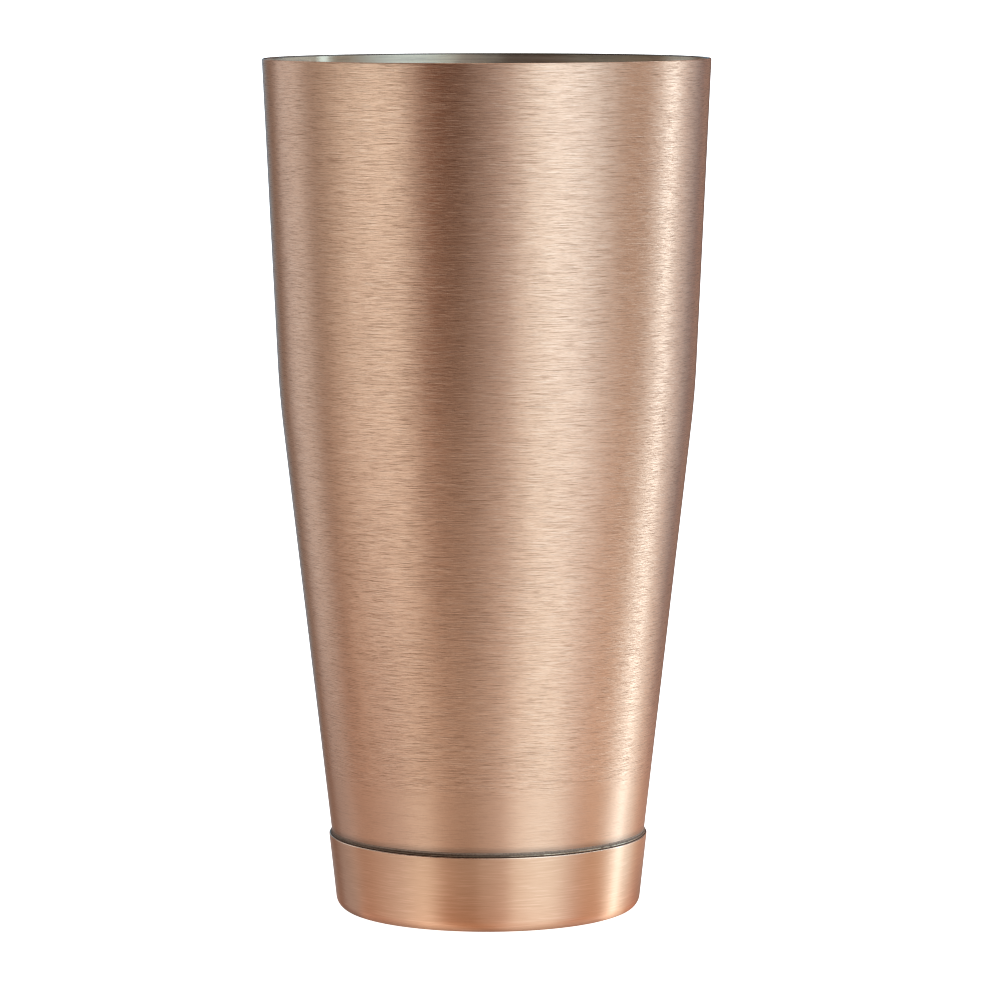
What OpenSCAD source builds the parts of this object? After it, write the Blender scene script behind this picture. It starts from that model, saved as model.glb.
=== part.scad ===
// Full-size weighted shaking tin for cocktails.
// A deep-drawn steel cup, plated outside, with a steel slug held under its floor by a pressed-on base cap.
// The origin is on the axis, on the surface that the tin stands on. +Z is up, towards the mouth.

/* [Tin] */
// Outside diameter over the rim
rim_d = 92; // [88:0.5:96]
// Height from the table to the top of the rim
total_h = 176; // [168:1:184]
// Thickness of the drawn sheet
wall_t = 0.6; // [0.5:0.05:0.8]
// Lean of the wall above the shoulder, in degrees
upper_taper = 2.66; // [2:0.01:3.5]
// Lean of the wall below the shoulder, in degrees
lower_taper = 6.52; // [6:0.01:7]
// Height of the shoulder, where the two leans meet
shoulder_h = 107; // [95:1:120]
// Radius of the soft bend at the shoulder
shoulder_r = 208; // [80:1:300]
// Outside radius of the corner between wall and floor
tin_corner_r = 5.5; // [3:0.1:7]

/* [Base cap] */
// Height of the cap's open lip above the table
cap_h = 15.8; // [13:0.1:18]
// Lean of the cap's wall, in degrees
cap_taper = 6.2; // [5.5:0.01:6.5]
// Outside radius of the cap's bottom corner
cap_corner_r = 2.8; // [1.5:0.1:4]
// Clearance between the cap's lip and the tin
lip_gap = 0.03; // [0.02:0.01:0.1]
// How far the middle of the underside is raised off the table
panel_rise = 0.8; // [0.4:0.1:1.2]
// Diameter of the raised panel
panel_d = 44; // [36:1:46]

/* [Weight] */
// Diameter of the steel slug
weight_d = 50; // [44:0.5:51]
// Thickness of the steel slug
weight_t = 4.2; // [3:0.1:5.5]
// Edge break on the slug
weight_chamfer = 0.5; // [0.2:0.1:1]
// Thickness of the bond above and below the slug
bond_t = 0.4; // [0.2:0.05:0.6]

/* [Seam] */
// Height of the sealing bead above the cap's lip
bead_h = 0.95; // [0.6:0.05:1.5]
// Edge break on the outside of the cap's lip
lip_r = 0.2; // [0.1:0.05:0.25]

/* [Quality] */
// Facets round the axis in OpenSCAD's own preview
$fn = 180; // [60:20:360]

/* [Hidden] */

corner_steps = 12;      // straight steps in a quarter-round corner
bend_steps = 8;         // straight steps in a slight bend
step_r = 2;             // radius of the two bends beside the raised panel
bond_inset = 1;         // how far each bond stops short of what it holds

rim_r = rim_d / 2;
weight_r = weight_d / 2;
panel_r = panel_d / 2;

// The base is a stack: cap floor, lower bond, slug, upper bond, tin floor.
lower_bond_z = panel_rise + wall_t;
weight_z = lower_bond_z + bond_t;
upper_bond_z = weight_z + weight_t;
tin_floor_z = upper_bond_z + bond_t;

// Points along an arc, from one angle to another, in degrees.
function arc(centre, r, from, to, steps) =
    [for (i = [0 : steps]) let (a = from + (to - from) * i / steps) centre + r * [cos(a), sin(a)]];

function reversed(path) = [for (i = [len(path) - 1 : -1 : 0]) path[i]];

// Outward normal of a wall that leans outwards by a taper.
function wall_normal(taper) = [cos(taper), -sin(taper)];

// Radius at height z of a straight wall that leans by a taper and passes through a point.
function wall_r(through, taper, z) = through[0] - (through[1] - z) * tan(taper);

// Centre of a corner that meets a floor at floor_z and a leaning wall through a point.
function corner_centre(through, taper, floor_z, r) =
    [wall_r(through, taper, floor_z + r) - r / cos(taper), floor_z + r];

// Tin: the two straight walls cross at the shoulder point, and a bend rounds the crossing.
rim_point = [rim_r, total_h];
shoulder_point = [wall_r(rim_point, upper_taper, shoulder_h), shoulder_h];
shoulder_centre = shoulder_point
    - shoulder_r / cos((lower_taper - upper_taper) / 2) * wall_normal((lower_taper + upper_taper) / 2);
tin_corner = corner_centre(shoulder_point, lower_taper, tin_floor_z, tin_corner_r);
edge_r = wall_t / 2;
edge_centre = [wall_r(rim_point, upper_taper, total_h - edge_r) - edge_r / cos(upper_taper), total_h - edge_r];

function tin_wall_r(z) = wall_r(shoulder_point, lower_taper, z);

// One face of the tin's sheet, from the axis up to the rim, set in from the outside.
function tin_face(inset) = concat(
    [[0, tin_floor_z + inset]],
    arc(tin_corner, tin_corner_r - inset, -90, -lower_taper, corner_steps),
    arc(shoulder_centre, shoulder_r - inset, -lower_taper, -upper_taper, bend_steps)
);

// Base cap: its lip just clears the tin, and its floor steps up to the raised panel.
lip_point = [tin_wall_r(cap_h) + lip_gap + wall_t / cos(cap_taper), cap_h];
cap_corner = corner_centre(lip_point, cap_taper, 0, cap_corner_r);
step_a = acos(1 - panel_rise / (2 * step_r));
lip_centre = [wall_r(lip_point, cap_taper, cap_h - lip_r) - lip_r / cos(cap_taper), cap_h - lip_r];
cap_inner_r = tin_wall_r(cap_h) + lip_gap;

// One face of the cap's sheet, from the axis to the top of its corner, set in from the outside.
function cap_face(inset) = concat(
    [[0, panel_rise + inset]],
    arc([panel_r, panel_rise - step_r], step_r + inset, 90, 90 - step_a, bend_steps),
    arc([panel_r + 2 * step_r * sin(step_a), step_r], step_r - inset, 270 - step_a, 270, bend_steps),
    arc(cap_corner, cap_corner_r - inset, -90, -cap_taper, corner_steps)
);

module turned(profile) {
    rotate_extrude() polygon(profile);
}

module disc(r, z, t) {
    translate([0, 0, z]) cylinder(r = r, h = t);
}

module tin_body() {
    color("#c6906f") turned(concat(
        tin_face(0),
        arc(edge_centre, edge_r, -upper_taper, 180 - upper_taper, corner_steps),
        reversed(tin_face(wall_t))
    ));
}

module base_cap() {
    color("#bd8763") turned(concat(
        cap_face(0),
        arc(lip_centre, lip_r, -cap_taper, 90, bend_steps),
        [[cap_inner_r, cap_h]],
        reversed(cap_face(wall_t))
    ));
}

module base_weight() {
    c = weight_chamfer;
    top = weight_z + weight_t;
    color("#6f7276") turned([
        [0, weight_z],
        [weight_r - c, weight_z],
        [weight_r, weight_z + c],
        [weight_r, top - c],
        [weight_r - c, top],
        [0, top]
    ]);
}

module upper_bond() {
    color("#c9b27a") disc(weight_r - weight_chamfer - bond_inset, upper_bond_z, bond_t);
}

module lower_bond() {
    color("#c9b27a") disc(panel_r - bond_inset, lower_bond_z, bond_t);
}

// A fillet of sealing metal in the corner between the cap's lip and the tin's wall.
module seam_bead() {
    top = cap_h + bead_h;
    foot_r = lip_centre[0];
    depth = foot_r - tin_wall_r(top);
    color("#4b4640") turned(concat(
        [[tin_wall_r(cap_h), cap_h]],
        [for (i = [0 : bend_steps]) let (a = 90 * i / bend_steps)
            [foot_r - depth * sin(a), top - bead_h * cos(a)]]
    ));
}

tin_body();
base_cap();
base_weight();
upper_bond();
lower_bond();
seam_bead();
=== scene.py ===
"""Looks of a full-size weighted shaking tin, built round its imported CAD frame.

Lengths are in metres. The axis is Z, the tin stands on z = 0, and the camera looks along +Y.
"""

import math

import bpy
from mathutils import Matrix, Vector, noise


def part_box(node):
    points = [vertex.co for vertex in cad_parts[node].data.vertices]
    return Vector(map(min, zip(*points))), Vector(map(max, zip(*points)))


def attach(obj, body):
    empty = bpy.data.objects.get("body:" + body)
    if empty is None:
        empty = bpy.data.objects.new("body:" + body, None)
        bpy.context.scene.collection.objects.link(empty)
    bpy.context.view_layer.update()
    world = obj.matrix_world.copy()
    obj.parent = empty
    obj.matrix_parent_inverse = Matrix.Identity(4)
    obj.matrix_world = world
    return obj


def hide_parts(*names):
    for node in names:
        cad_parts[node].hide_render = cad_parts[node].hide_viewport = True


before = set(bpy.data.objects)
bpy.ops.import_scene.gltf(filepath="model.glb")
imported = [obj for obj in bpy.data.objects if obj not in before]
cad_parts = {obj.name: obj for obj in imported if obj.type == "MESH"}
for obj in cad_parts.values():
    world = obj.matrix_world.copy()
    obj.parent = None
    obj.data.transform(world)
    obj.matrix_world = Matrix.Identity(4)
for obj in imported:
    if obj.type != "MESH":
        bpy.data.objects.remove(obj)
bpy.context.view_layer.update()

MM = 0.001
DEGREES = 180 / math.pi

# The tin's own dimensions, as in its CAD source.
WALL = 0.6 * MM
UPPER_TAPER = math.radians(2.66)
LOWER_TAPER = math.radians(6.52)
SHOULDER_Z = 107 * MM
SHOULDER_R = 208 * MM
TIN_CORNER_R = 5.5 * MM
CAP_TAPER = math.radians(6.2)
CAP_CORNER_R = 2.8 * MM
LIP_GAP = 0.03 * MM
LIP_ROUND = 0.2 * MM
PANEL_R = 22 * MM
PANEL_RISE = 0.8 * MM
STEP_R = 2 * MM
RIM_R = 46 * MM

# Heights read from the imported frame.
tin_low, tin_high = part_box("tin_body")
TOP = tin_high.z
TIN_FLOOR = tin_low.z
CAP_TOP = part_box("base_cap")[1].z
BEAD_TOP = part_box("seam_bead")[1].z

# Steps round the axis in the turned meshes, with more for the bead's uneven ridge, and the radius below which
# a ring is a single point on the axis.
SEGMENTS = 288
BEAD_SEGMENTS = 720
ON_AXIS = 1e-7

# Straight steps along the tin's profile, from its floor up to its rim.
FLOOR_STEPS = 4
CORNER_STEPS = 14
LOWER_WALL_STEPS = 12
SHOULDER_STEPS = 20
UPPER_WALL_STEPS = 8
RIM_STEPS = 12
# The same along the cap's profile, from its raised panel out to its lip, and across the bead.
PANEL_STEPS = 5
PANEL_BEND_STEPS = 8
CAP_CORNER_STEPS = 16
CAP_WALL_STEPS = 4
LIP_STEPS = 8
BEAD_STEPS = 18

# The ridge along the seam bead: its place and width as shares of the bead's curve, how far it stands out,
# with its slow and its fine unevenness, in millimetres, and how much of that it stands up as well.
RIDGE_AT = 0.48
RIDGE_WIDTH = 0.12
RIDGE_OUT, RIDGE_UNEVEN, RIDGE_FINE = 0.12, 0.04, 0.03
RIDGE_UP = 0.6
# The rest of the bead: how uneven it is in millimetres, the most that this lifts it, and how far the bead is
# sunk into the tin's wall.
BEAD_UNEVEN = 0.03
BEAD_LIFT_LIMIT = 0.05 * MM
BEAD_BURIED = 0.05 * MM
# The noise that the bead reads: the radius of its ring, its run across the bead and its finer scales.
NOISE_RING = 9
NOISE_RUN = 1.5
NOISE_SECOND = 3.1
NOISE_FINE = 14


# ---------------------------------------------------------------- profiles

def arc(centre, radius, start, end, steps):
    """Points (r, z) along an arc; the angles are in degrees."""
    points = []
    for i in range(steps + 1):
        a = math.radians(start + (end - start) * i / steps)
        points.append((centre[0] + radius * math.cos(a), centre[1] + radius * math.sin(a)))
    return points


def wall_r(through, taper, z):
    """Radius at height z of a straight wall that leans by a taper and passes through a point."""
    return through[0] - (through[1] - z) * math.tan(taper)


def corner_centre(through, taper, floor_z, radius):
    """Centre of a corner that meets a floor at floor_z and a leaning wall through a point."""
    return (wall_r(through, taper, floor_z + radius) - radius / math.cos(taper), floor_z + radius)


def between(a, b, steps):
    """Points strictly between a and b."""
    return [(a[0] + (b[0] - a[0]) * i / steps, a[1] + (b[1] - a[1]) * i / steps) for i in range(1, steps)]


shoulder = (wall_r((RIM_R, TOP), UPPER_TAPER, SHOULDER_Z), SHOULDER_Z)
mean_taper = (UPPER_TAPER + LOWER_TAPER) / 2
bend_reach = SHOULDER_R / math.cos((LOWER_TAPER - UPPER_TAPER) / 2)
shoulder_centre = (
    shoulder[0] - bend_reach * math.cos(mean_taper),
    shoulder[1] + bend_reach * math.sin(mean_taper),
)
tin_corner = corner_centre(shoulder, LOWER_TAPER, TIN_FLOOR, TIN_CORNER_R)
EDGE_R = WALL / 2
edge_centre = (
    wall_r((RIM_R, TOP), UPPER_TAPER, TOP - EDGE_R) - EDGE_R / math.cos(UPPER_TAPER),
    TOP - EDGE_R,
)


def tin_wall_r(z):
    """Outside radius of the tin at height z, below its shoulder."""
    return wall_r(shoulder, LOWER_TAPER, z)


def tin_face(inset):
    """One face of the tin's sheet, from the axis to the top of the shoulder, set in from the outside."""
    lower, upper = math.degrees(LOWER_TAPER), math.degrees(UPPER_TAPER)
    corner = arc(tin_corner, TIN_CORNER_R - inset, -90, -lower, CORNER_STEPS)
    bend = arc(shoulder_centre, SHOULDER_R - inset, -lower, -upper, SHOULDER_STEPS)
    middle = (0.0, TIN_FLOOR + inset)
    return (
        [middle]
        + between(middle, corner[0], FLOOR_STEPS)
        + corner
        + between(corner[-1], bend[0], LOWER_WALL_STEPS)
        + bend
    )


def tin_profile():
    """The tin's outline: up its outside, over the rim and down its inside, back to the axis.

    With it comes how many of its steps are copper. The copper ends at the rim's crest.
    """
    upper = math.degrees(UPPER_TAPER)
    rim = arc(edge_centre, EDGE_R, -upper, 180 - upper, RIM_STEPS)
    outside = tin_face(0)
    outside += between(outside[-1], rim[0], UPPER_WALL_STEPS)
    inside = tin_face(WALL)
    inside += between(inside[-1], rim[-1], UPPER_WALL_STEPS)
    return outside + rim + inside[::-1], len(outside) + RIM_STEPS // 2


lip = (tin_wall_r(CAP_TOP) + LIP_GAP + WALL / math.cos(CAP_TAPER), CAP_TOP)
cap_corner = corner_centre(lip, CAP_TAPER, 0.0, CAP_CORNER_R)
lip_centre = (
    wall_r(lip, CAP_TAPER, CAP_TOP - LIP_ROUND) - LIP_ROUND / math.cos(CAP_TAPER),
    CAP_TOP - LIP_ROUND,
)


def cap_face(inset):
    """One face of the cap's sheet, from the axis to the top of its corner, set in from the outside."""
    step = math.degrees(math.acos(1 - PANEL_RISE / (2 * STEP_R)))
    run = 2 * STEP_R * math.sin(math.radians(step))
    panel_z = PANEL_RISE + inset
    return (
        [(0.0, panel_z)]
        + between((0.0, panel_z), (PANEL_R, panel_z), PANEL_STEPS)
        + arc((PANEL_R, PANEL_RISE - STEP_R), STEP_R + inset, 90, 90 - step, PANEL_BEND_STEPS)
        + arc((PANEL_R + run, STEP_R), STEP_R - inset, 270 - step, 270, PANEL_BEND_STEPS)
        + arc(cap_corner, CAP_CORNER_R - inset, -90, -math.degrees(CAP_TAPER), CAP_CORNER_STEPS)
    )


def cap_profile():
    """The cap's closed outline: its outside, its rounded lip and its inside."""
    outside = cap_face(0)
    edge = arc(lip_centre, LIP_ROUND, -math.degrees(CAP_TAPER), 90, LIP_STEPS)
    outside += between(outside[-1], edge[0], CAP_WALL_STEPS)
    return outside + edge + [(tin_wall_r(CAP_TOP) + LIP_GAP, CAP_TOP)] + cap_face(WALL)[::-1]


# ---------------------------------------------------------------- meshes

def mesh_object(name, verts, faces):
    """A new mesh, as an object of the same name in the scene."""
    mesh = bpy.data.meshes.new(name)
    mesh.from_pydata(verts, [], faces)
    mesh.update()
    obj = bpy.data.objects.new(name, mesh)
    bpy.context.scene.collection.objects.link(obj)
    return obj


def circle(ring, segments):
    """Points round the axis. The ring is (r, z), or a function of the angle that gives them."""
    points = []
    for k in range(segments):
        a = 2 * math.pi * k / segments
        r, z = ring(a) if callable(ring) else ring
        points.append((r * math.cos(a), r * math.sin(a), z))
    return points


def turned(name, rings, segments, material_of):
    """A closed turned mesh, smooth shaded. material_of gives the material slot of each row of faces.

    Rings that start and end on the axis close there; a set of rings clear of it closes on itself.
    """
    verts, faces, slots, starts = [], [], [], []
    for ring in rings:
        starts.append(len(verts))
        if not callable(ring) and ring[0] < ON_AXIS:
            verts.append((0.0, 0.0, ring[1]))
        else:
            verts += circle(ring, segments)
    starts.append(len(verts))
    sizes = [starts[i + 1] - starts[i] for i in range(len(rings))]
    rows = len(rings) if sizes[0] > 1 else len(rings) - 1
    for i in range(rows):
        j = (i + 1) % len(rings)
        for k in range(segments):
            n = (k + 1) % segments
            if sizes[i] == 1:
                face = (starts[i], starts[j] + n, starts[j] + k)
            elif sizes[j] == 1:
                face = (starts[i] + k, starts[i] + n, starts[j])
            else:
                face = (starts[i] + k, starts[i] + n, starts[j] + n, starts[j] + k)
            faces.append(face)
            slots.append(material_of(i))
    obj = mesh_object(name, verts, faces)
    obj.data.polygons.foreach_set("material_index", slots)
    obj.data.polygons.foreach_set("use_smooth", [True] * len(faces))
    obj.data.update()
    return obj


def bead_rings():
    """The rings of the seam bead, which is a concave fillet with a low uneven ridge along its middle."""
    height = BEAD_TOP - CAP_TOP
    foot = lip_centre[0]
    depth = foot - tin_wall_r(BEAD_TOP)

    def ring(share):
        def at(a):
            where = Vector((math.cos(a) * NOISE_RING, math.sin(a) * NOISE_RING, share * NOISE_RUN))
            uneven = noise.noise(where) + 0.5 * noise.noise(where * NOISE_SECOND)
            fine = noise.noise(where * NOISE_FINE)
            ridge = math.exp(-((share - RIDGE_AT) / RIDGE_WIDTH) ** 2)
            out = ridge * (RIDGE_OUT + RIDGE_UNEVEN * uneven + RIDGE_FINE * fine) * MM
            lift = math.sin(math.pi * share) * BEAD_UNEVEN * (fine + uneven) * MM
            q = share * math.pi / 2
            r = foot - depth * math.sin(q) + out
            z = BEAD_TOP - height * math.cos(q) + RIDGE_UP * out + min(lift, BEAD_LIFT_LIMIT)
            return r, max(z, CAP_TOP)
        return at

    inner = tin_wall_r(CAP_TOP) - BEAD_BURIED
    inner_top = tin_wall_r(BEAD_TOP) - BEAD_BURIED
    outside = [ring(i / BEAD_STEPS) for i in range(BEAD_STEPS + 1)]
    return [(inner, CAP_TOP)] + outside + [(inner_top, BEAD_TOP)]


# ---------------------------------------------------------------- node helpers

def add(tree, kind, inputs=None, **settings):
    """Adds a node; an input given as a socket is linked, and any other is set."""
    made = tree.nodes.new(kind)
    for key, value in settings.items():
        setattr(made, key, value)
    for key, value in (inputs or {}).items():
        if isinstance(value, bpy.types.NodeSocket):
            tree.links.new(value, made.inputs[key])
        else:
            made.inputs[key].default_value = value
    return made


def calc(tree, operation, a, b=0.0, c=0.0):
    """The result of one math node."""
    return add(tree, "ShaderNodeMath", {0: a, 1: b, 2: c}, operation=operation).outputs[0]


def fade(tree, value, start, end, low=0.0, high=1.0):
    """A smooth step from low to high as value goes from start to end, in either direction."""
    flip = start > end
    if flip:
        start, end, low, high = end, start, high, low
    inputs = {"Value": value, "From Min": start, "From Max": end, "To Min": low, "To Max": high}
    return add(tree, "ShaderNodeMapRange", inputs, interpolation_type="SMOOTHSTEP").outputs[0]


def blend(tree, factor, a, b, mode="MIX"):
    """Mixes two colours. The input and output numbers are those of the mix node's colour sockets."""
    made = add(tree, "ShaderNodeMix", {0: factor, 6: a, 7: b}, data_type="RGBA", blend_type=mode)
    return made.outputs[2]


def cloud(tree, vector, scale, detail=2.0, roughness=0.5):
    """Noise in three dimensions, from 0 to 1."""
    inputs = {"Vector": vector, "Scale": scale, "Detail": detail, "Roughness": roughness}
    return add(tree, "ShaderNodeTexNoise", inputs).outputs["Fac"]


def rgb(r, g, b):
    """A colour in linear light, fully opaque."""
    return (r, g, b, 1.0)


# ---------------------------------------------------------------- materials

# The tin's copper: its base, and the tones of its strokes, marks and smoother foot.
COPPER = rgb(0.84, 0.54, 0.37)
STROKE_DARK = rgb(0.46, 0.26, 0.165)
STROKE_LIGHT = rgb(1.0, 0.74, 0.56)
SCRATCH = rgb(0.38, 0.205, 0.13)
GRIT = rgb(0.40, 0.22, 0.14)
FINE_GRAIN = rgb(0.62, 0.36, 0.23)
PATCH = rgb(0.80, 0.50, 0.36)
SMOOTH_FOOT = rgb(0.62, 0.39, 0.26)
SOOT = rgb(0.26, 0.19, 0.15)

# The cap's copper.
CAP_COPPER = rgb(0.735, 0.468, 0.308)
CAP_GRAIN = rgb(0.56, 0.31, 0.19)
CAP_SHEEN = rgb(1.0, 0.70, 0.52)
CAP_PATCH = rgb(0.78, 0.46, 0.32)
CAP_LIP_WEAR_AND_HIGHLIGHT = rgb(1.0, 0.84, 0.70)

# The bare steel inside: near the mouth, paler deeper in as painted light, its marks, and the painted shade at
# the mouth's edge.
STEEL_NEAR = rgb(0.57, 0.48, 0.35)
STEEL_DEEP_PAINTED_LIGHT = rgb(0.86, 0.82, 0.76)
STEEL_LINE_DARK = rgb(0.30, 0.25, 0.19)
STEEL_LINE_LIGHT = rgb(0.95, 0.86, 0.74)
STEEL_SCUFF = rgb(0.26, 0.22, 0.18)
STEEL_PATCH = rgb(0.38, 0.36, 0.30)
MOUTH_PAINTED_SHADE = rgb(0.10, 0.095, 0.085)

# The seam bead, from its foot up, and its worn ridge, which carries a painted highlight on its lit side.
WELD_FOOT = rgb(0.075, 0.048, 0.034)
WELD_MIDDLE = rgb(0.16, 0.115, 0.082)
WELD_TOP = rgb(0.32, 0.24, 0.185)
WELD_WORN_AND_LIT = rgb(0.50, 0.42, 0.32)
WELD_GRIT = rgb(0.050, 0.032, 0.022)

# The slug and the bonds inside the base.
SLUG = rgb(0.42, 0.42, 0.43)
SLUG_RING = rgb(0.24, 0.24, 0.25)
SLUG_STAIN = rgb(0.30, 0.24, 0.19)
EPOXY = rgb(0.62, 0.50, 0.26)
EPOXY_MOTTLE = rgb(0.48, 0.36, 0.16)
EPOXY_BUBBLE = rgb(0.80, 0.72, 0.50)

# Heights on the tin: where the brushing fades in above the cap, and where soot from the seam fades out.
BRUSHED_Z = (28.5 * MM, 32 * MM)
SOOT_Z = (18.5 * MM, 17.0 * MM)
# Down from their tops: the worn edge of the cap's lip, painted lighter as wear and as its edge highlight; the
# painted shade at the edge of the mouth; and the cup's depth, painted paler as light.
LIP_WEAR_AND_HIGHLIGHT = (0.30 * MM, 0.12 * MM)
MOUTH_SHADE_EDGE = (0.34 * MM, 0.22 * MM)
PAINTED_LIGHT_DEPTH = (12 * MM, 70 * MM)
# The ridge on the seam bead, up from the cap's lip: where it rises and where it ends, from outside inwards.
RIDGE_FOOT = (0.14 * MM, 0.24 * MM)
RIDGE_TOP = (0.52 * MM, 0.38 * MM)
# Up from the cap's lip as well: where the bead's tones run into each other.
WELD_LOWER = (0.08 * MM, 0.36 * MM)
WELD_UPPER = (0.36 * MM, 0.90 * MM)
# How far to the right of the axis the painted highlight on the bead's ridge fades in, on the side the strip
# light falls on, and how far that wanders.
LIT_SIDE_X = (6 * MM, 16 * MM)
LIT_SIDE_WANDER = 8 * MM
# How far the edges of the brushing and of the soot wander up and down.
BRUSHED_WANDER = 2.5 * MM
SOOT_WANDER = 0.5 * MM
# Waves across the grain, per metre.
WAVE_SCALE = 70.0
# Turns the long side of each highlight across the grooves, as a share of a full turn.
ACROSS_GROOVES = 0.25


class Turned:
    """Coordinates for a turned surface: along the grain, which runs round the axis, and across it."""

    def __init__(self, tree):
        self.tree = tree
        self.point = add(tree, "ShaderNodeTexCoord").outputs["Object"]
        split = add(tree, "ShaderNodeSeparateXYZ", {0: self.point})
        self.x, self.y, self.z = split.outputs
        x_square = calc(tree, "MULTIPLY", self.x, self.x)
        y_square = calc(tree, "MULTIPLY", self.y, self.y)
        self.r = calc(tree, "SQRT", calc(tree, "ADD", x_square, y_square))
        self.across = calc(tree, "ADD", self.z, self.r)

    def grain(self, along, across, offset=0.0, wave=0.0, detail=2.0):
        """Noise stretched round the axis: its cell sizes along and across, and how far its lines wave."""
        tree = self.tree
        path = self.across
        if wave:
            slow = cloud(tree, self.point, WAVE_SCALE, detail=1.0)
            path = calc(tree, "MULTIPLY_ADD", calc(tree, "SUBTRACT", slow, 0.5), wave, path)
        vector = add(tree, "ShaderNodeCombineXYZ", {
            0: calc(tree, "MULTIPLY_ADD", self.x, 1 / along, offset),
            1: calc(tree, "MULTIPLY_ADD", self.y, 1 / along, offset),
            2: calc(tree, "MULTIPLY", path, 1 / across),
        }).outputs[0]
        return cloud(tree, vector, 1.0, detail)


def blank_material(name):
    """A new material with no nodes yet, and its node tree."""
    material = bpy.data.materials.new(name)
    material.use_nodes = True
    material.node_tree.nodes.clear()
    return material, material.node_tree


def new_material(name):
    """A new material that ends in a principled shader, with its node tree and that shader."""
    material, tree = blank_material(name)
    output = add(tree, "ShaderNodeOutputMaterial")
    shader = add(tree, "ShaderNodeBsdfPrincipled")
    tree.links.new(shader.outputs[0], output.inputs[0])
    return material, tree, shader


def round_the_axis(tree, shader, anisotropic):
    """Grooves that run round the axis, so that highlights stretch up and down."""
    tangent = add(tree, "ShaderNodeTangent", direction_type="RADIAL", axis="Z")
    shader.inputs["Anisotropic"].default_value = anisotropic
    shader.inputs["Anisotropic Rotation"].default_value = ACROSS_GROOVES
    tree.links.new(tangent.outputs[0], shader.inputs["Tangent"])


def connect(tree, shader, colour, roughness, height, depth):
    """Links the colour, the roughness and a bump, in which a height of 1 stands for the depth in metres."""
    tree.links.new(colour, shader.inputs["Base Color"])
    tree.links.new(roughness, shader.inputs["Roughness"])
    bump = add(tree, "ShaderNodeBump", {"Strength": 1.0, "Distance": depth, "Height": height})
    tree.links.new(bump.outputs[0], shader.inputs["Normal"])


def tin_copper():
    """Brushed antique copper: short fine strokes on the wall, smooth grain near the base."""
    material, tree, shader = new_material("tin_copper")
    t = Turned(tree)
    shader.inputs["Metallic"].default_value = 1.0
    round_the_axis(tree, shader, 1.0)

    strokes = t.grain(3.6 * MM, 0.15 * MM, wave=0.25 * MM, detail=1.0)
    scratches = t.grain(8 * MM, 0.16 * MM, offset=7.3, wave=0.6 * MM, detail=1.0)
    grit = t.grain(0.9 * MM, 0.13 * MM, offset=11.9, detail=0.0)
    fine = t.grain(30 * MM, 0.35 * MM, offset=3.1, detail=2.0)
    patches = cloud(tree, t.point, 55.0, detail=2.0)

    ragged = calc(tree, "MULTIPLY_ADD", patches, BRUSHED_WANDER, t.z)
    brushed = fade(tree, ragged, *BRUSHED_Z, low=0.4)

    dark = calc(tree, "MULTIPLY", fade(tree, strokes, 0.44, 0.28), brushed)
    light = calc(tree, "MULTIPLY", fade(tree, strokes, 0.50, 0.75), brushed)
    scratch = calc(tree, "MULTIPLY", fade(tree, scratches, 0.43, 0.29), brushed)
    glint = calc(tree, "MULTIPLY", fade(tree, scratches, 0.52, 0.72), brushed)
    specks = calc(tree, "MULTIPLY", fade(tree, grit, 0.58, 0.25), brushed)

    colour = COPPER
    colour = blend(tree, calc(tree, "MULTIPLY", dark, 0.52), colour, STROKE_DARK)
    colour = blend(tree, calc(tree, "MULTIPLY", light, 0.50), colour, STROKE_LIGHT)
    colour = blend(tree, calc(tree, "MULTIPLY", scratch, 0.38), colour, SCRATCH)
    colour = blend(tree, calc(tree, "MULTIPLY", specks, 0.20), colour, GRIT)
    colour = blend(tree, fade(tree, fine, 0.55, 0.25, high=0.14), colour, FINE_GRAIN)
    colour = blend(tree, fade(tree, patches, 0.35, 0.75, high=0.10), colour, PATCH)
    colour = blend(tree, calc(tree, "MULTIPLY_ADD", brushed, -0.22, 0.22), colour, SMOOTH_FOOT)

    soot_z = calc(tree, "MULTIPLY_ADD", patches, SOOT_WANDER, t.z)
    soot = fade(tree, soot_z, *SOOT_Z)
    colour = blend(tree, calc(tree, "MULTIPLY", soot, 0.50), colour, SOOT)

    roughness = calc(tree, "MULTIPLY_ADD", dark, 0.05, 0.36)
    roughness = calc(tree, "MULTIPLY_ADD", glint, 0.12, roughness)
    roughness = calc(tree, "MULTIPLY_ADD", fine, 0.04, roughness)
    height = calc(tree, "SUBTRACT", calc(tree, "ADD", light, glint), calc(tree, "ADD", dark, scratch))
    height = calc(tree, "MULTIPLY_ADD", fine, 0.5, height)
    connect(tree, shader, colour, roughness, height, depth=0.010 * MM)
    return material


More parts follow.
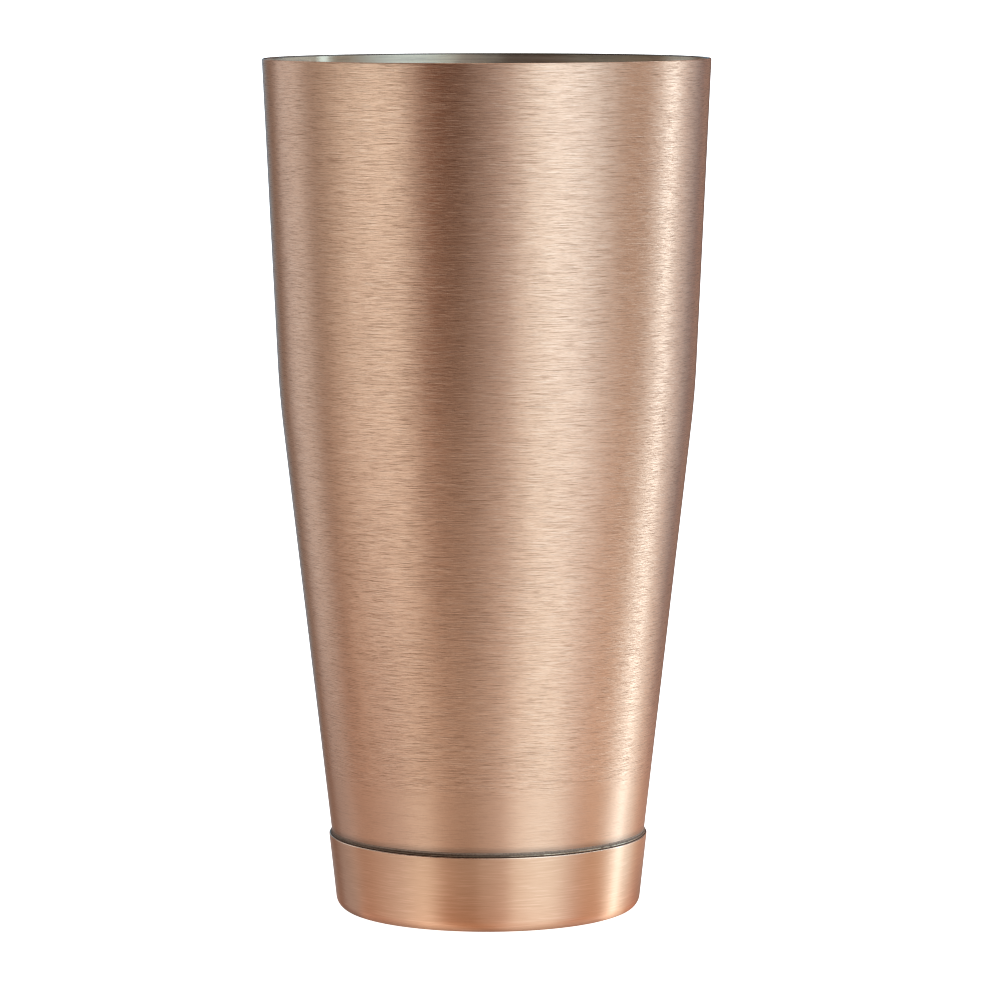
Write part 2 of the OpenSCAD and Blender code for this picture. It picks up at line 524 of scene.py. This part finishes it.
def cap_copper():
    """The cap's copper: a finer, even grain round the axis, polished at the lip, whose edge is painted
    lighter, partly as wear and partly as a painted highlight.
    """
    material, tree, shader = new_material("cap_copper")
    t = Turned(tree)
    shader.inputs["Metallic"].default_value = 1.0
    round_the_axis(tree, shader, 1.0)

    fine = t.grain(14 * MM, 0.25 * MM, detail=1.0)
    long = t.grain(5 * MM, 0.32 * MM, offset=5.7, wave=0.3 * MM, detail=1.0)
    patches = cloud(tree, t.point, 70.0, detail=2.0)

    colour = CAP_COPPER
    colour = blend(tree, fade(tree, fine, 0.52, 0.28, high=0.20), colour, CAP_GRAIN)
    colour = blend(tree, fade(tree, long, 0.46, 0.28, high=0.22), colour, CAP_GRAIN)
    colour = blend(tree, fade(tree, long, 0.54, 0.72, high=0.22), colour, CAP_SHEEN)
    colour = blend(tree, fade(tree, patches, 0.35, 0.75, high=0.10), colour, CAP_PATCH)
    # Partly wear and partly painted highlight: a lighter band along the top of the lip, standing in for the
    # bright line of light on its edge.
    lip_wear_and_highlight = fade(tree, t.z, CAP_TOP - LIP_WEAR_AND_HIGHLIGHT[0], CAP_TOP - LIP_WEAR_AND_HIGHLIGHT[1])
    colour = blend(tree, calc(tree, "MULTIPLY", lip_wear_and_highlight, 0.5), colour, CAP_LIP_WEAR_AND_HIGHLIGHT)

    roughness = calc(tree, "MULTIPLY_ADD", fine, 0.06, 0.31)
    roughness = calc(tree, "MULTIPLY_ADD", lip_wear_and_highlight, -0.08, roughness)
    connect(tree, shader, colour, roughness, fine, depth=0.002 * MM)
    return material


def inside_steel():
    """Bare stainless steel inside the cup, with lathe lines round the axis, painted paler deeper in as light
    and darker at the mouth's edge as shade.
    """
    material, tree, shader = new_material("inside_steel")
    t = Turned(tree)
    shader.inputs["Metallic"].default_value = 0.66
    round_the_axis(tree, shader, 0.9)

    lines = t.grain(40 * MM, 0.35 * MM, detail=2.0)
    scuffs = t.grain(5 * MM, 0.5 * MM, offset=4.4, wave=1.0 * MM, detail=1.0)
    patches = cloud(tree, t.point, 40.0, detail=2.0)

    # Painted light: the steel turns paler deeper in the cup, where little light reaches, so that the inside
    # reads brighter.
    painted_light_deep = fade(tree, t.z, TOP - PAINTED_LIGHT_DEPTH[0], TOP - PAINTED_LIGHT_DEPTH[1], high=0.75)
    colour = blend(tree, painted_light_deep, STEEL_NEAR, STEEL_DEEP_PAINTED_LIGHT)
    colour = blend(tree, fade(tree, lines, 0.52, 0.30, high=0.40), colour, STEEL_LINE_DARK)
    colour = blend(tree, fade(tree, lines, 0.52, 0.72, high=0.40), colour, STEEL_LINE_LIGHT)
    colour = blend(tree, fade(tree, scuffs, 0.45, 0.28, high=0.35), colour, STEEL_SCUFF)
    colour = blend(tree, fade(tree, patches, 0.35, 0.75, high=0.15), colour, STEEL_PATCH)
    # Painted shade: a dark band just below the rim's crest on the inside, where the rim's round turns away
    # from the light.
    edge = fade(tree, t.z, TOP - MOUTH_SHADE_EDGE[0], TOP - MOUTH_SHADE_EDGE[1], high=0.85)
    colour = blend(tree, edge, colour, MOUTH_PAINTED_SHADE)

    roughness = calc(tree, "MULTIPLY_ADD", lines, 0.06, 0.20)
    connect(tree, shader, colour, roughness, lines, depth=0.004 * MM)
    return material


def weld():
    """The bead in the seam: dark patina, deepest at its foot, with a worn ridge painted brighter on one side,
    the lit right side, as a painted highlight.
    """
    material, tree, shader = new_material("seam_weld")
    t = Turned(tree)
    shader.inputs["Metallic"].default_value = 1.0
    shader.inputs["Anisotropic"].default_value = 0.0
    blotches = cloud(tree, t.point, 320.0, detail=3.0, roughness=0.6)
    grit = cloud(tree, t.point, 2600.0, detail=1.0)
    rise = calc(tree, "SUBTRACT", t.z, CAP_TOP)
    ridge = calc(tree, "MULTIPLY", fade(tree, rise, *RIDGE_FOOT), fade(tree, rise, *RIDGE_TOP))
    # Painted highlight: the ridge's lighter worn colour is strong only on the right, where the strip light
    # falls, and faint elsewhere.
    lit_side = fade(tree, calc(tree, "MULTIPLY_ADD", blotches, LIT_SIDE_WANDER, t.x), *LIT_SIDE_X, low=0.1)
    ridge_wear_and_light = calc(tree, "MULTIPLY", calc(tree, "MULTIPLY", ridge, lit_side), fade(tree, blotches, 0.30, 0.55))
    colour = blend(tree, fade(tree, rise, *WELD_LOWER), WELD_FOOT, WELD_MIDDLE)
    colour = blend(tree, fade(tree, rise, *WELD_UPPER), colour, WELD_TOP)
    colour = blend(tree, calc(tree, "MULTIPLY", ridge_wear_and_light, 0.85), colour, WELD_WORN_AND_LIT)
    colour = blend(tree, fade(tree, grit, 0.58, 0.36, high=0.25), colour, WELD_GRIT)
    roughness = calc(tree, "MULTIPLY_ADD", ridge_wear_and_light, -0.25, 0.48)
    connect(tree, shader, colour, roughness, grit, depth=0.015 * MM)
    return material


def slug_steel():
    """Turned mild steel, for the weight sealed in the base."""
    material, tree, shader = new_material("slug_steel")
    t = Turned(tree)
    shader.inputs["Metallic"].default_value = 1.0
    round_the_axis(tree, shader, 0.6)
    rings = t.grain(80 * MM, 0.3 * MM, detail=2.0)
    stain = cloud(tree, t.point, 90.0, detail=4.0, roughness=0.6)
    colour = SLUG
    colour = blend(tree, fade(tree, rings, 0.5, 0.25, high=0.4), colour, SLUG_RING)
    colour = blend(tree, fade(tree, stain, 0.5, 0.75, high=0.5), colour, SLUG_STAIN)
    roughness = calc(tree, "MULTIPLY_ADD", stain, 0.25, 0.30)
    connect(tree, shader, colour, roughness, rings, depth=0.01 * MM)
    return material


def epoxy():
    """Cured epoxy, mottled, with small trapped bubbles."""
    material, tree, shader = new_material("epoxy_bond")
    t = Turned(tree)
    shader.inputs["Metallic"].default_value = 0.0
    mottle = cloud(tree, t.point, 220.0, detail=4.0, roughness=0.6)
    cells = add(tree, "ShaderNodeTexVoronoi", {"Vector": t.point, "Scale": 900.0})
    bubbles = fade(tree, cells.outputs["Distance"], 0.30, 0.18)
    colour = EPOXY
    colour = blend(tree, fade(tree, mottle, 0.4, 0.7, high=0.7), colour, EPOXY_MOTTLE)
    colour = blend(tree, calc(tree, "MULTIPLY", bubbles, 0.5), colour, EPOXY_BUBBLE)
    roughness = fade(tree, mottle, 0.3, 0.7, low=0.35, high=0.55)
    connect(tree, shader, colour, roughness, bubbles, depth=0.05 * MM)
    return material


# ---------------------------------------------------------------- the object

tin_rings, copper_rings = tin_profile()
tin = turned("tin_shell", tin_rings, SEGMENTS, lambda i: 0 if i < copper_rings else 1)
tin.data.materials.append(tin_copper())
tin.data.materials.append(inside_steel())
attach(tin, "root")
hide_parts("tin_body")

cap = turned("cap_shell", cap_profile(), SEGMENTS, lambda i: 0)
cap.data.materials.append(cap_copper())
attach(cap, "root")
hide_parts("base_cap")

bead = turned("weld_bead", bead_rings(), BEAD_SEGMENTS, lambda i: 0)
bead.data.materials.append(weld())
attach(bead, "root")
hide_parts("seam_bead")

slug, bond = slug_steel(), epoxy()
for node_name, material in (("base_weight", slug), ("upper_bond", bond), ("lower_bond", bond)):
    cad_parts[node_name].data.materials.clear()
    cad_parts[node_name].data.materials.append(material)


# ---------------------------------------------------------------- stage

# Soft panels round the tin. Each has the azimuths where it fades in and out, the light it adds and the
# heights where it fades out above, in degrees. Azimuth starts from the lens side, positive to the right.
TALL = (56, 80)
LOW = (-8, 12)
PANELS = {
    "left rear wall": ((-210, -200, -172, -150), (0.12, 0.24, 0.32), TALL),
    "left rear card": ((-150, -131, -120, -103), (0.37, 0.455, 0.53), TALL),
    "left wall": ((-178, -154, -100, -62), (0.137, 0.115, 0.09), TALL),
    "left softbox": ((-115, -60, -51, -31), (1.36, 1.57, 1.65), LOW),
    "left softbox, warm edge": ((-48, -38, -32, -20), (0.12, 0.03, 0.0), LOW),
    "lens card": ((-12, -3, 46, 88), (0.18, 0.20, 0.22), TALL),
    "lens card, lit side": ((-4, 18, 46, 88), (0.18, 0.17, 0.19), TALL),
    "right softbox, edge": ((12, 22, 46, 88), (0.39, 0.55, 0.62), TALL),
    "right softbox": ((18, 40, 48, 88), (0.22, 0.37, 0.53), TALL),
    "right wall": ((58, 84, 122, 152), (0.28, 0.245, 0.21), TALL),
    "right strip, spill": ((101, 109, 126, 160), (0.30, 0.40, 0.50), TALL),
    "right rear card": ((148, 156, 162, 172), (0.26, 0.195, 0.165), TALL),
    "right rear wall": ((152, 166, 200, 210), (0.02, 0.03, 0.03), TALL),
}
DARK_ROOM = (0.04, 0.008, 0.002)
OVERHEAD = (0.73, 0.64, 0.56)
STUDIO_STRENGTH = 1.41

# A strip light stands on the table to the right, a little behind the tin. It is at full strength within its
# core's half width and up to a height, and fades out from there to its edges.
STRIP_PLACE = (0.2535, 0.068)
STRIP_HALF_WIDTH = 0.028
STRIP_CORE = 0.006
STRIP_TOP = 0.55
STRIP_FULL = 0.7 * STRIP_TOP
STRIP_LIGHT = (2.40, 3.25, 3.95)

# Light off the pale table, by the azimuth in which the tin's wall throws it: a ray that leaves the wall
# meets the table at a smaller azimuth than it heads for, more so near the base, which has twice this radius.
BASE_HALF_R = 0.016
TABLE = {
    -180: (0.46, 0.36, 0.33),
    -150: (0.21, 0.09, 0.05),
    -130: (0.22, 0.08, 0.03),
    -112: (0.71, 0.475, 0.385),
    -74: (0.61, 0.39, 0.33),
    -45: (1.00, 0.85, 0.735),
    -20: (1.09, 0.96, 0.86),
    10: (1.06, 0.96, 0.88),
    45: (1.07, 1.00, 0.83),
    70: (0.93, 0.62, 0.44),
    94: (1.07, 0.83, 0.67),
    114: (2.20, 2.70, 3.05),
    126: (1.80, 2.25, 2.45),
    142: (1.12, 0.80, 0.56),
    160: (0.95, 0.58, 0.42),
    180: (0.46, 0.36, 0.33),
}
# Near the tin the light has bounced off the copper too, and right beside the cap the table is in its shade.
TABLE_BOUNCE = (1.12, 0.71, 0.49)
TABLE_CONTACT = (0.45, 0.27, 0.19)
# The table's disc.
TABLE_RADIUS = 0.30
TABLE_DROP = 0.02 * MM
TABLE_SEGMENTS = 64
# Distances from the axis over which the bounce and the shade end, and the cover comes in and thins out.
BOUNCE_R = (0.028, 0.055)
CONTACT_R = (0.0295, 0.0325)
COVER_IN_R = (0.05, 0.09)
COVER_OUT_R = (0.25, 0.162)

# The white sweep: how far its wall stands, the radius of the curve at its foot, its height, its drop below
# the table and the radii of two rings in its flat part, then its steps round the axis and up the curve.
SWEEP_REACH = 3.0
SWEEP_COVE = 1.0
SWEEP_HEIGHT = 4.0
SWEEP_DROP = 0.05 * MM
SWEEP_FLAT_RINGS = (0.2, 0.6)
SWEEP_SEGMENTS = 96
SWEEP_STEPS = 16

# The lens: its place, its yaw, pitch and roll in radians, and its length and sensor in millimetres.
LENS_PLACE = (0.0008, -1.0602, 0.1999)
LENS_TURN = (0.0017, -0.1080, -0.0014)
LENS_LENGTH = 185.8
LENS_SENSOR = 36.0


def glow(tree, colour, cover):
    """Ends a material: light where the cover is 1, and nothing where it is 0."""
    light = add(tree, "ShaderNodeEmission", {"Color": colour, "Strength": 1.0})
    clear = add(tree, "ShaderNodeBsdfTransparent")
    mixed = add(tree, "ShaderNodeMixShader", {0: cover, 1: clear.outputs[0], 2: light.outputs[0]})
    output = add(tree, "ShaderNodeOutputMaterial")
    tree.links.new(mixed.outputs[0], output.inputs[0])


def azimuth_of(tree, x, y):
    """Azimuth in degrees of a direction or a point, from the lens side."""
    return calc(tree, "MULTIPLY", calc(tree, "ARCTAN2", x, calc(tree, "MULTIPLY", y, -1.0)), DEGREES)


def studio():
    """Light by direction: dark room, soft upright panels and an overhead softbox. The lens doesn't see it."""
    world = bpy.data.worlds.new("studio")
    bpy.context.scene.world = world
    world.use_nodes = True
    world.cycles_visibility.camera = False
    tree = world.node_tree
    tree.nodes.clear()
    where = add(tree, "ShaderNodeTexCoord").outputs["Generated"]
    split = add(tree, "ShaderNodeSeparateXYZ", {0: where})
    x, y, z = split.outputs
    azimuth = azimuth_of(tree, x, y)
    height = calc(tree, "MULTIPLY", calc(tree, "ARCSINE", z), DEGREES)
    total = rgb(*DARK_ROOM)
    tops = {reach: fade(tree, height, reach[1], reach[0]) for reach in (TALL, LOW)}
    for (start, full, full_end, end), light, reach in PANELS.values():
        shape = calc(tree, "MULTIPLY", fade(tree, azimuth, start, full), fade(tree, azimuth, end, full_end))
        shape = calc(tree, "MULTIPLY", shape, tops[reach])
        total = blend(tree, shape, total, rgb(*light), mode="ADD")
    total = blend(tree, fade(tree, height, *TALL), total, rgb(*OVERHEAD))
    background = add(tree, "ShaderNodeBackground", {"Color": total, "Strength": STUDIO_STRENGTH})
    output = add(tree, "ShaderNodeOutputWorld")
    tree.links.new(background.outputs[0], output.inputs[0])


def sweep():
    """A white floor that curves up into a wall all round. Only the camera sees it."""
    flat = SWEEP_REACH - SWEEP_COVE
    rings = [(r, 0.0) for r in (*SWEEP_FLAT_RINGS, flat)]
    rings += arc((flat, SWEEP_COVE), SWEEP_COVE, -90, 0, SWEEP_STEPS)[1:]
    rings.append((SWEEP_REACH, SWEEP_HEIGHT))
    verts, faces = [], []
    for r, z in rings:
        verts += circle((r, z - SWEEP_DROP), SWEEP_SEGMENTS)
    for i in range(len(rings) - 1):
        inner, outer = i * SWEEP_SEGMENTS, (i + 1) * SWEEP_SEGMENTS
        for k in range(SWEEP_SEGMENTS):
            n = (k + 1) % SWEEP_SEGMENTS
            faces.append((inner + k, outer + k, outer + n, inner + n))
    faces.append(tuple(range(SWEEP_SEGMENTS)))
    obj = mesh_object("sweep", verts, faces)
    material, tree, shader = new_material("white_sweep")
    shader.inputs["Base Color"].default_value = rgb(0.8, 0.8, 0.8)
    shader.inputs["Roughness"].default_value = 1.0
    shader.inputs["Specular IOR Level"].default_value = 0.0
    shader.inputs["Emission Color"].default_value = rgb(1, 1, 1)
    shader.inputs["Emission Strength"].default_value = 1.0
    obj.data.materials.append(material)
    obj.visible_glossy = False
    obj.visible_diffuse = False
    obj.visible_transmission = False
    obj.visible_shadow = False


def table_top():
    """The pale table that the tin reflects: warm near the tin, thinning out further away."""
    edge = circle((TABLE_RADIUS, -TABLE_DROP), TABLE_SEGMENTS)
    obj = mesh_object("table_top", edge, [tuple(range(TABLE_SEGMENTS))])
    material, tree = blank_material("pale_table")
    obj.data.materials.append(material)
    t = Turned(tree)
    far = calc(tree, "MAXIMUM", t.r, 2 * BASE_HALF_R)
    spread = calc(tree, "DIVIDE", far, calc(tree, "SUBTRACT", far, BASE_HALF_R))
    thrown = calc(tree, "MULTIPLY", azimuth_of(tree, t.x, t.y), spread)
    turn = calc(tree, "MULTIPLY_ADD", thrown, 1 / 360, 0.5)
    ring = add(tree, "ShaderNodeValToRGB", {0: turn})
    ring.color_ramp.interpolation = "EASE"
    stops = ring.color_ramp.elements
    while len(stops) < len(TABLE):
        stops.new(0.5)
    # Places before colours, as the ramp sorts its stops when one of them moves.
    for stop, azimuth in zip(stops, TABLE):
        stop.position = azimuth / 360 + 0.5
    for stop, light in zip(stops, TABLE.values()):
        stop.color = rgb(*light)
    colour = ring.outputs[0]
    bounce = blend(tree, fade(tree, t.r, *BOUNCE_R), rgb(*TABLE_BOUNCE), rgb(1, 1, 1))
    bounce = blend(tree, fade(tree, t.r, *CONTACT_R), rgb(*TABLE_CONTACT), bounce)
    colour = blend(tree, 1.0, colour, bounce, mode="MULTIPLY")
    cover = fade(tree, t.r, *COVER_IN_R, low=0.55, high=0.9)
    cover = calc(tree, "MULTIPLY", cover, fade(tree, t.r, *COVER_OUT_R))
    glow(tree, colour, cover)
    obj.visible_camera = False
    obj.visible_shadow = False


def strip_light():
    """An upright strip light with soft edges and its mirror image below the table, seen only in the metal."""
    place = Vector((*STRIP_PLACE, -STRIP_TOP))
    side = Vector((-place.y, place.x, 0.0)).normalized() * STRIP_HALF_WIDTH
    up = Vector((0.0, 0.0, 2 * STRIP_TOP))
    corners = [place - side, place + side, place + side + up, place - side + up]
    obj = mesh_object("strip_light", corners, [(0, 1, 2, 3)])
    material, tree = blank_material("strip_glow")
    obj.data.materials.append(material)
    point = add(tree, "ShaderNodeTexCoord").outputs["Object"]
    offset = add(tree, "ShaderNodeVectorMath", {0: point, 1: side.normalized()}, operation="DOT_PRODUCT")
    off_centre = calc(tree, "ABSOLUTE", offset.outputs["Value"])
    height = add(tree, "ShaderNodeSeparateXYZ", {0: point}).outputs[2]
    beside = fade(tree, off_centre, STRIP_HALF_WIDTH, STRIP_CORE)
    above = fade(tree, height, STRIP_TOP, STRIP_FULL)
    glow(tree, rgb(*STRIP_LIGHT), calc(tree, "MULTIPLY", beside, above))
    obj.visible_camera = False
    obj.visible_shadow = False


def camera():
    """The lens, which looks along +Y and a little down."""
    yaw, pitch, roll = LENS_TURN
    data = bpy.data.cameras.new("lens")
    data.sensor_width = LENS_SENSOR
    data.lens = LENS_LENGTH
    data.clip_start, data.clip_end = 0.01, 50.0
    obj = bpy.data.objects.new("lens", data)
    bpy.context.scene.collection.objects.link(obj)
    forward = Vector((math.sin(yaw) * math.cos(pitch), math.cos(yaw) * math.cos(pitch), math.sin(pitch)))
    level = Vector((math.cos(yaw), -math.sin(yaw), 0.0))
    upright = level.cross(forward)
    right = level * math.cos(roll) + upright * math.sin(roll)
    up = upright * math.cos(roll) - level * math.sin(roll)
    turn = Matrix((right, up, -forward)).transposed()
    obj.matrix_world = Matrix.Translation(LENS_PLACE) @ turn.to_4x4()
    bpy.context.scene.camera = obj


studio()
sweep()
table_top()
strip_light()
camera()
bpy.context.scene.view_settings.view_transform = "Standard"
bpy.context.scene.cycles.filter_width = 1.1
